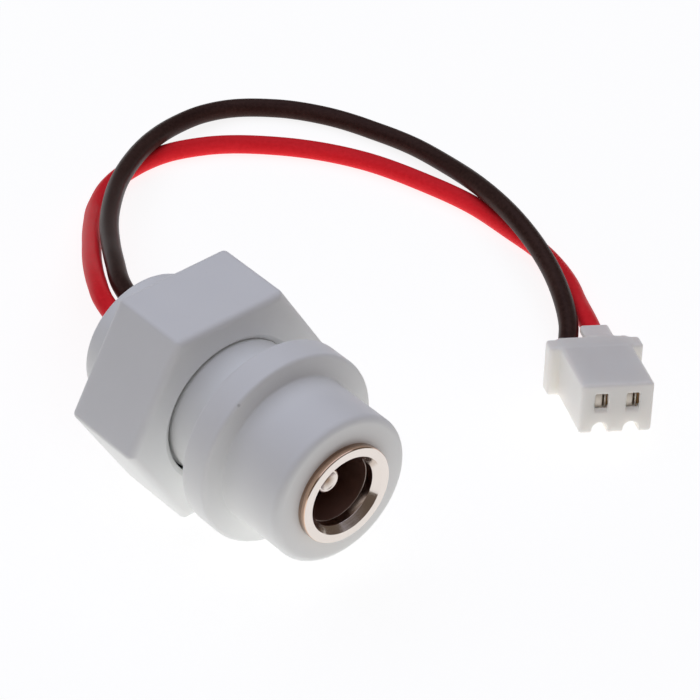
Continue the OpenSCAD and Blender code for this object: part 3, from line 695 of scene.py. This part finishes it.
def mouth_ring():
    """Turned bush: the proud ring with its broken edge, the chamfered mouth, the guiding land
    with a fine bead at its rear, and the shank, as one rounded outline turned about the axis."""
    outline = rounded(
        [
            (0.0, MOUTH_RADIUS, LIP_EDGE),
            (0.0, RING_RADIUS, RING_EDGE),
            (NOSE_FACE, RING_RADIUS, 0),
            (NOSE_FACE, SHANK_RADIUS, 0),
            (SHOULDER, SHANK_RADIUS, BUSH_EDGE),
            (SHOULDER, INNER_RADIUS, BUSH_EDGE),
            (LAND_END, INNER_RADIUS, LIP_EDGE),
            (LAND_END, PLUG_RADIUS - BEAD, 0),
            (LAND_END - BEAD, PLUG_RADIUS - BEAD, BEAD_EDGE),
            (LAND_END - 1.5 * BEAD, PLUG_RADIUS, 0),
            (LAND_END - 2.5 * BEAD, PLUG_RADIUS, 0),
            (MOUTH_CHAMFER, PLUG_RADIUS, BUSH_EDGE),
        ],
        support=0.02,
    )
    points, quads, _ = joined(turned(outline, BODY_STEPS), True, True)
    return make_piece("mouth_ring", points, quads, NICKEL, ["mouth_bush"])


def centre_pin():
    """Turned pin: a tip dished by the square of the radius, a quarter circle round its edge, the
    plain length, and the thinner stem with its solder cup. A small flat closes the dish and the
    cup on the axis."""
    flat, hub, support = PIN_RADIUS - PIN_ROUNDING, 0.04, 0.04
    radius = np.linspace(hub, flat, 12)
    dish = np.stack([PIN_TIP + PIN_DISH * (1 - (radius / flat) ** 2), radius], -1)
    t = np.linspace(0, math.pi / 2, 9)[1:]
    edge = np.stack([PIN_TIP + PIN_ROUNDING * (1 - np.cos(t)), flat + PIN_ROUNDING * np.sin(t)], -1)
    rear = [
        (PIN_TIP + PIN_ROUNDING + support, PIN_RADIUS),
        (PIN_FOOT - support, PIN_RADIUS),
        (PIN_FOOT, PIN_RADIUS),
        (PIN_FOOT, STEM_RADIUS),
        (CUP_END, STEM_RADIUS),
        (CUP_END, CUP_RADIUS),
        (CUP_BOTTOM, CUP_RADIUS),
        (CUP_BOTTOM, hub),
    ]
    outline = np.concatenate([dish, edge, rear])
    points, quads, _ = joined(turned(outline, PIN_STEPS), False, True)
    caps = end_caps(len(outline), PIN_STEPS)
    return make_piece(
        "turned_pin", points, quads, NICKEL, ["centre_pin"], caps=caps
    )


def smooth_line(knots, spacing):
    """A smooth curve through the knots: between two knots a cubic that has a given slope at
    both, where a knot's slope comes from the knots on either side, over chord length. It is kept
    off the table, and brought to even spacing from points eight times finer. Also gives the
    length run at each point."""
    finer = 8
    knots = np.array(knots, float)
    at = np.concatenate([[0], np.cumsum(np.linalg.norm(np.diff(knots, axis=0), axis=1))])
    slope = np.gradient(knots, at, axis=0)
    t = np.linspace(0, at[-1], int(at[-1] / (spacing / finer)))
    k = np.clip(np.searchsorted(at, t, side="right") - 1, 0, len(at) - 2)
    span = (at[k + 1] - at[k])[:, None]
    u = (t[:, None] - at[k][:, None]) / span
    line = (
        (2 * u**3 - 3 * u**2 + 1) * knots[k]
        + (u**3 - 2 * u**2 + u) * span * slope[k]
        + (3 * u**2 - 2 * u**3) * knots[k + 1]
        + (u**3 - u**2) * span * slope[k + 1]
    )
    line[:, 2] = np.maximum(line[:, 2], WIRE_DIAMETER / 2)
    run = np.concatenate([[0], np.cumsum(np.linalg.norm(np.diff(line, axis=0), axis=1))])
    even = np.linspace(0, run[-1], int(run[-1] / spacing) + 1)
    return np.stack([np.interp(even, run, line[:, axis]) for axis in range(3)], -1), even


def in_plug(points):
    """Points given from the middle of the plug housing's front lower edge, in the part's frame.
    The plug is raised until the lower corner of its ear on the rolled side stands on the table."""
    roll, pitch, yaw = (math.radians(a) for a in (PLUG_ROLL, PLUG_PITCH, PLUG_YAW))
    rise = EAR_REAR * math.sin(-pitch) + EAR_WIDTH / 2 * math.sin(roll) * math.cos(pitch)
    about_y = np.array(
        [[math.cos(roll), 0, math.sin(roll)], [0, 1, 0], [-math.sin(roll), 0, math.cos(roll)]]
    )
    about_x = np.array(
        [[1, 0, 0], [0, math.cos(pitch), -math.sin(pitch)], [0, math.sin(pitch), math.cos(pitch)]]
    )
    about_z = np.array(
        [[math.cos(yaw), -math.sin(yaw), 0], [math.sin(yaw), math.cos(yaw), 0], [0, 0, 1]]
    )
    turn = about_z @ about_x @ about_y
    return np.asarray(points, float) @ turn.T + np.array([PLUG_X, PLUG_Y, rise])


def wire(name, joint, exit_x, route, contact, material, replaced):
    """One insulated wire: a round tube of rings square to a smooth line, from its soldered joint
    through the potting, along its route and into its crimp. Also gives its middle line and
    length in metres."""
    in_socket = [
        (joint, WIRE_START),
        (joint, SHRINK_END),
        (exit_x, SEAL_FRONT - BEFORE_SEAL),
        (exit_x, SEAL_FRONT + IN_SEAL),
        (exit_x, BODY_END),
    ]
    plug_stations = (HOUSING_LENGTH + BEFORE_PLUG, HOUSING_LENGTH, WIRE_END)
    knots = [
        *[(x, s - SOCKET_MIDDLE, AXIS_HEIGHT) for x, s in in_socket],
        *route,
        *in_plug([(contact, y, CAVITY_MIDDLE) for y in plug_stations]),
    ]
    line, run = smooth_line(knots, WIRE_SPACING)
    ahead = np.gradient(line, axis=0)
    ahead /= np.linalg.norm(ahead, axis=1, keepdims=True)
    side = np.cross(ahead, (0, 0, 1))
    side /= np.linalg.norm(side, axis=1, keepdims=True)
    top = np.cross(side, ahead)
    angle = np.linspace(0, 2 * np.pi, WIRE_STEPS, endpoint=False)[None, :, None]
    outward = np.cos(angle) * side[:, None] + np.sin(angle) * top[:, None]
    points, quads, steps = joined(line[:, None] + WIRE_DIAMETER / 2 * outward, False, True)
    uv = np.stack([run[steps[..., 0]], steps[..., 1] / WIRE_STEPS], -1)
    caps = end_caps(len(line), WIRE_STEPS)
    piece = make_piece(name, points, quads, material, replaced, caps=caps, uv=uv)
    return piece, line * MM, run[-1] * MM


def box_distance(p, low, high, rounding):
    """Signed distance of a box with round edges: the distance from a box smaller by the
    rounding, less it."""
    low, high = np.array(low, float), np.array(high, float)
    past = np.abs(p - (low + high) / 2) - ((high - low) / 2 - rounding)
    return np.linalg.norm(np.maximum(past, 0), axis=-1) + np.minimum(past.max(-1), 0) - rounding


def melted(a, b, width):
    """Smooth lower value of two fields: where they differ by less than width, a parabola blends
    them."""
    share = np.clip(0.5 + 0.5 * (b - a) / width, 0, 1)
    return b + (a - b) * share - width * share * (1 - share)


def housing_field(p):
    """Signed distance of the plug housing in its own axes: block, ears and tab melted together,
    less the two contact rooms with their porches, front openings, ramps, grooves and lance
    windows."""
    half, ear = HOUSING_WIDTH / 2, EAR_WIDTH / 2
    solid = box_distance(p, (-half, 0, 0), (half, HOUSING_LENGTH, HOUSING_HEIGHT), HOUSING_EDGE)
    ears = box_distance(p, (-ear, EAR_FRONT, 0), (ear, EAR_REAR, HOUSING_HEIGHT), HOUSING_EDGE)
    tab = box_distance(
        p,
        (TAB_MIDDLE - TAB_WIDTH / 2, HOUSING_LENGTH - TAB_ROOT, HOUSING_HEIGHT - TAB_THICKNESS),
        (TAB_MIDDLE + TAB_WIDTH / 2, HOUSING_LENGTH + TAB_LENGTH, HOUSING_HEIGHT),
        TAB_EDGE,
    )
    solid = melted(melted(solid, ears, EAR_BLEND), tab, TAB_BLEND)
    for side in (-1, 1):
        q = p - np.array([side * CONTACT_PITCH / 2, 0, 0])
        x, y, z = q[..., 0], q[..., 1], q[..., 2]
        room = box_distance(
            q,
            (-ROOM_HALF, ROOM_FRONT, ROOM_FLOOR),
            (ROOM_HALF, HOUSING_LENGTH + PAST_REAR, ROOM_TOP),
            ROOM_EDGE,
        )
        opening = box_distance(
            q,
            (-OPENING_HALF, -OPENING_REACH, OPENING_LOW),
            (OPENING_HALF, OPENING_REACH, OPENING_HIGH),
            PORCH_EDGE,
        )
        porch = box_distance(
            q,
            (-PORCH_HALF, PORCH_FRONT, PORCH_LOW),
            (PORCH_HALF, PORCH_REAR, PORCH_HIGH),
            PORCH_EDGE,
        )
        ramp = np.maximum(
            np.maximum(np.abs(x) - OPENING_HALF, np.abs(y) - RAMP_DEPTH),
            np.maximum((y + OPENING_LOW - RAMP_DEPTH - z) / math.sqrt(2), z - RAMP_TOP),
        )
        groove = np.maximum(
            np.hypot(x, np.maximum(z - GROOVE_MIDDLE, 0)) - GROOVE_RADIUS, y - GROOVE_LENGTH
        )
        window = box_distance(
            q,
            (-OPENING_HALF, WINDOW_FRONT, WINDOW_LOW),
            (OPENING_HALF, WINDOW_REAR, WINDOW_HIGH),
            WINDOW_EDGE,
        )
        for hole in (room, opening, porch, ramp, groove, window):
            solid = -melted(-solid, hole, CUT_BLEND)
    return solid


def level_surface(field, origin, step):
    """Zero surface of a field on a cubic grid: each cell that it crosses gets one point, the
    mean of the crossings on the cell's edges, and each grid edge that it crosses gets the quad
    of its four cells' points."""
    cells = np.array(field.shape) - 1
    total, count = np.zeros((*cells, 3)), np.zeros(cells)

    def corner(offset):
        """The field at the same corner of every cell."""
        return field[tuple(slice(o, o + n) for o, n in zip(offset, cells))]

    for axis in range(3):
        for first in (0, 1):
            for second in (0, 1):
                low = np.zeros(3, int)
                low[[k for k in range(3) if k != axis]] = first, second
                high = low.copy()
                high[axis] = 1
                a, b = corner(low), corner(high)
                crossed = (a < 0) != (b < 0)
                share = np.where(crossed, a / np.where(crossed, a - b, 1), 0)
                total += crossed[..., None] * low + (crossed * share)[..., None] * (high - low)
                count += crossed
    used = count > 0
    index = np.full(cells, -1)
    index[used] = np.arange(used.sum())
    points = np.array(origin) + step * (np.argwhere(used) + total[used] / count[used][:, None])
    quads = []
    for axis in range(3):
        one, two = [k for k in range(3) if k != axis]
        start = [slice(None)] * 3
        end = [slice(None)] * 3
        start[axis], end[axis] = slice(0, -1), slice(1, None)
        a, b = field[tuple(start)] < 0, field[tuple(end)] < 0
        at = np.argwhere(a != b)
        inside = (at[:, [one, two]] > 0) & (at[:, [one, two]] < cells[[one, two]])
        at = at[inside.all(1)]
        ring = []
        for back_one, back_two in ((1, 1), (0, 1), (0, 0), (1, 0)):
            cell = at.copy()
            cell[:, one] -= back_one
            cell[:, two] -= back_two
            ring.append(index[tuple(cell.T)])
        ring = np.stack(ring, -1)
        turn = a[tuple(at.T)] ^ (axis == 1)
        quads.append(np.where(turn[:, None], ring, ring[:, ::-1]))
    return points, np.concatenate(quads)


def plug_housing():
    """The zero surface of the housing's field on a fine grid, moved to where the plug lies."""
    axes = [np.arange(low, high, GRID_STEP) for low, high in zip(GRID_LOW, GRID_HIGH)]
    grid = np.stack(np.meshgrid(*axes, indexing="ij"), -1)
    points, quads = level_surface(housing_field(grid), GRID_LOW, GRID_STEP)
    points = in_plug(points)
    return make_piece(
        "plug_housing", points, quads, NATURAL_NYLON, ["connector_housing"]
    )


def bent_strip(middle):
    """A strip of sheet bent in plan: its cross-section, a thin upright rectangle with broken
    corners, is carried along the middle line (x, y), square to it."""
    ahead = np.gradient(middle, axis=0)
    normal = np.stack([-ahead[:, 1], ahead[:, 0]], -1)
    normal = normal / np.linalg.norm(ahead, axis=1, keepdims=True)
    half, edge = NOSE_SHEET / 2, SHEET_EDGE
    right = np.array([half - edge, half, half, half - edge])
    across = np.concatenate([right, -right])
    rise = np.array([NOSE_LOW, NOSE_LOW + edge, NOSE_HIGH - edge, NOSE_HIGH])
    rise = np.concatenate([rise, rise[::-1]])
    plan = middle[:, None] + across[:, None] * normal[:, None]
    return np.concatenate([plan, np.broadcast_to(rise[:, None], (*plan.shape[:2], 1))], -1)


def contact_nose(name, contact, shift):
    """Front of a crimp contact, as its opening shows it: on the left a spring leaf that comes
    forward along the box's wall, turns across the opening in a round bend and rolls back, and on
    the right a plain cheek."""
    t = np.linspace(0, 1, 13)[:, None]
    turn = np.pi / 2 * t
    bend = np.array(BEND_MIDDLE) + BEND_RADIUS * np.concatenate([-np.cos(turn), -np.sin(turn)], 1)
    back = ROLL_TURN * turn
    roll = np.array(ROLL_MIDDLE) + ROLL_RADIUS * np.concatenate([np.sin(back), -np.cos(back)], 1)
    leaf = np.concatenate([np.array([(LEAF_WALL, LEAF_START), (LEAF_WALL, LEAF_TURN)]), bend, roll])
    slant = np.clip(2 * t - 1, 0, 1)
    cheek = np.concatenate([CHEEK_X + CHEEK_SLANT * slant, CHEEK_FRONT + CHEEK_LENGTH * t], 1)
    points, quads, caps, start = [], [], [], 0
    for strip in (bent_strip(leaf), bent_strip(cheek)):
        grid, faces, _ = joined(strip, False, True)
        points.append(grid + np.array([contact + shift, 0, 0]))
        quads.append(faces + start)
        caps += end_caps(*strip.shape[:2], start)
        start += len(grid)
    points, quads = in_plug(np.concatenate(points)), np.concatenate(quads)
    return make_piece(name, points, quads, TIN_PLATE, [], caps=caps)


def rear_potting():
    """Resin in the barrel's rear: a disc whose face rises in a meniscus, falling off
    exponentially from the bore's wall and from each wire, and whose front is flat."""
    hub_share, rows = 0.002, 40
    share = np.linspace(hub_share, 1, rows)[:, None]
    angle = np.linspace(0, 2 * np.pi, PIN_STEPS, endpoint=False)[None]
    radius = (JACK_RADIUS - TOUCH) * share
    x, z = radius * np.cos(angle), radius * np.sin(angle)
    wall = WALL_RISE * np.exp(-(JACK_RADIUS - radius) / WALL_FALL) + 0 * angle
    collar = 0
    for exit_x in (RED_EXIT, BLACK_EXIT):
        from_wire = np.maximum(np.hypot(x - exit_x, z) - WIRE_DIAMETER / 2, 0)
        collar = collar + COLLAR_RISE * np.exp(-from_wire / COLLAR_FALL)
    face = np.stack([x, SEAL_REAR - SEAL_DIP + wall + collar - SOCKET_MIDDLE, AXIS_HEIGHT + z], -1)
    front = face[::-1].copy()
    front[..., 1] = SEAL_FRONT - SOCKET_MIDDLE
    points, quads, _ = joined(np.concatenate([face, front]), True, True)
    return make_piece("rear_potting", points, quads, POTTING, ["rear_seal"])


# Stage: the photo's camera, a white glowing table, a dim warm room and one soft lamp overhead.


def opal_acrylic():
    """The table's lit opal sheet: an even white glow for the camera and in mirrors, so that the
    ground is as white as the photo's, while the light it throws on the part fades out past the
    sheet's edges."""
    sheet = bpy.data.materials.new("opal_acrylic_table")
    sheet.use_nodes = True
    tree = sheet.node_tree
    tree.nodes.clear()
    place = add(tree, "ShaderNodeTexCoord").outputs["Object"]
    on_sheet = add(
        tree,
        "ShaderNodeMapping",
        {
            "Vector": place,
            "Location": (SHEET_MIDDLE[0] * MM, SHEET_MIDDLE[1] * MM, 0),
            "Rotation": (0, 0, math.radians(SHEET_TURN)),
            "Scale": (SHEET_HALF[0] * MM, SHEET_HALF[1] * MM, 1),
        },
        vector_type="TEXTURE",
    ).outputs["Vector"]
    reaches = add(tree, "ShaderNodeVectorMath", {0: on_sheet}, operation="ABSOLUTE")
    sides = add(tree, "ShaderNodeSeparateXYZ", {"Vector": reaches.outputs["Vector"]}).outputs
    furthest = add(tree, "ShaderNodeMath", {0: sides["X"], 1: sides["Y"]}, operation="MAXIMUM")
    glowing = add(
        tree,
        "ShaderNodeMapRange",
        {
            "Value": furthest.outputs["Value"],
            "From Min": 1.0,
            "From Max": SHEET_FADE,
            "To Min": SHEET_GLOW,
            "To Max": ROOM_GLOW,
        },
        interpolation_type="SMOOTHSTEP",
    ).outputs["Result"]
    ray = add(tree, "ShaderNodeLightPath").outputs
    shown = ray["Is Camera Ray"]
    for other in ("Is Transmission Ray", "Is Glossy Ray"):
        shown = add(tree, "ShaderNodeMath", {0: shown, 1: ray[other]}, operation="MAXIMUM")
        shown = shown.outputs["Value"]
    white = add(tree, "ShaderNodeMix", {"Factor": shown, "A": glowing, "B": FLOOR_WHITE})
    white = white.outputs["Result"]
    matt = add(tree, "ShaderNodeBsdfDiffuse", {"Color": linear("#F4F4F4")}).outputs["BSDF"]
    glow = add(tree, "ShaderNodeEmission", {"Color": linear("#FFFFFF"), "Strength": white})
    both = add(
        tree, "ShaderNodeMixShader", {"Fac": GLOW_SHARE, 1: matt, 2: glow.outputs["Emission"]}
    )
    add(tree, "ShaderNodeOutputMaterial", {"Surface": both.outputs["Shader"]})
    return sheet


def stage():
    """Camera, floor, world and lamp."""
    scene = bpy.context.scene
    scene.view_settings.view_transform = "Standard"
    camera = bpy.data.objects.new("camera", bpy.data.cameras.new("camera"))
    camera.data.sensor_width = SENSOR_WIDTH
    camera.data.lens = CAMERA_LENS
    camera.data.clip_start, camera.data.clip_end = 0.01, 10.0
    camera.location = Vector(CAMERA_PLACE) * MM
    camera.rotation_euler = Vector(CAMERA_LOOK).to_track_quat("-Z", "Y").to_euler()
    scene.collection.objects.link(camera)
    scene.camera = camera

    reach = TABLE_HALF * MM
    corners = [(-reach, -reach, 0), (reach, -reach, 0), (reach, reach, 0), (-reach, reach, 0)]
    mesh = bpy.data.meshes.new("table")
    mesh.from_pydata(corners, [], [(0, 1, 2, 3)])
    mesh.materials.append(opal_acrylic())
    table = bpy.data.objects.new("table", mesh)
    scene.collection.objects.link(table)

    world = bpy.data.worlds.new("room")
    scene.world = world
    world.use_nodes = True
    tree = world.node_tree
    tree.nodes.clear()
    room = add(
        tree, "ShaderNodeBackground", {"Color": linear("#E6CDBA"), "Strength": ROOM_STRENGTH}
    )
    add(tree, "ShaderNodeOutputWorld", {"Surface": room.outputs["Background"]})

    lamp = bpy.data.objects.new("overhead", bpy.data.lights.new("overhead", "AREA"))
    lamp.data.shape = "SQUARE"
    lamp.data.size = LAMP_SIDE * MM
    lamp.data.energy = LAMP_POWER
    lamp.data.color = LAMP_TINT
    lamp.location = Vector(LAMP_PLACE) * MM
    scene.collection.objects.link(lamp)


stage()

red_lead, red_line, red_length = wire(
    "red_lead",
    RED_JOINT,
    RED_EXIT,
    RED_ROUTE,
    CONTACT_PITCH / 2,
    RED_VINYL,
    ["red_wire"],
)
black_lead, black_line, black_length = wire(
    "black_lead",
    BLACK_JOINT,
    BLACK_EXIT,
    BLACK_ROUTE,
    -CONTACT_PITCH / 2,
    BLACK_VINYL,
    ["black_wire"],
)
socket_body()
panel_nut()
mouth_ring()
centre_pin()
housing = plug_housing()
noses = [
    contact_nose("red_contact_nose", CONTACT_PITCH / 2, 0.0),
    contact_nose("black_contact_nose", -CONTACT_PITCH / 2, BLACK_NOSE_SHIFT),
]
rear_potting()

# The solids that stay as they are get their finish.
for node, material in {
    "jack_insulator": BLACK_LINER,
    "sleeve_spring": SPRING_BRONZE,
    "red_solder": TIN_SOLDER,
    "black_solder": TIN_SOLDER,
    "red_shrink": RED_SLEEVE,
    "black_shrink": BLACK_SLEEVE,
    "red_strands": COPPER_STRANDS,
    "black_strands": COPPER_STRANDS,
    "contact_red": CONTACT_BRASS,
    "contact_black": CONTACT_BRASS,
}.items():
    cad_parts[node].data.materials.clear()
    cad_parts[node].data.materials.append(material)

bpy.context.view_layer.update()
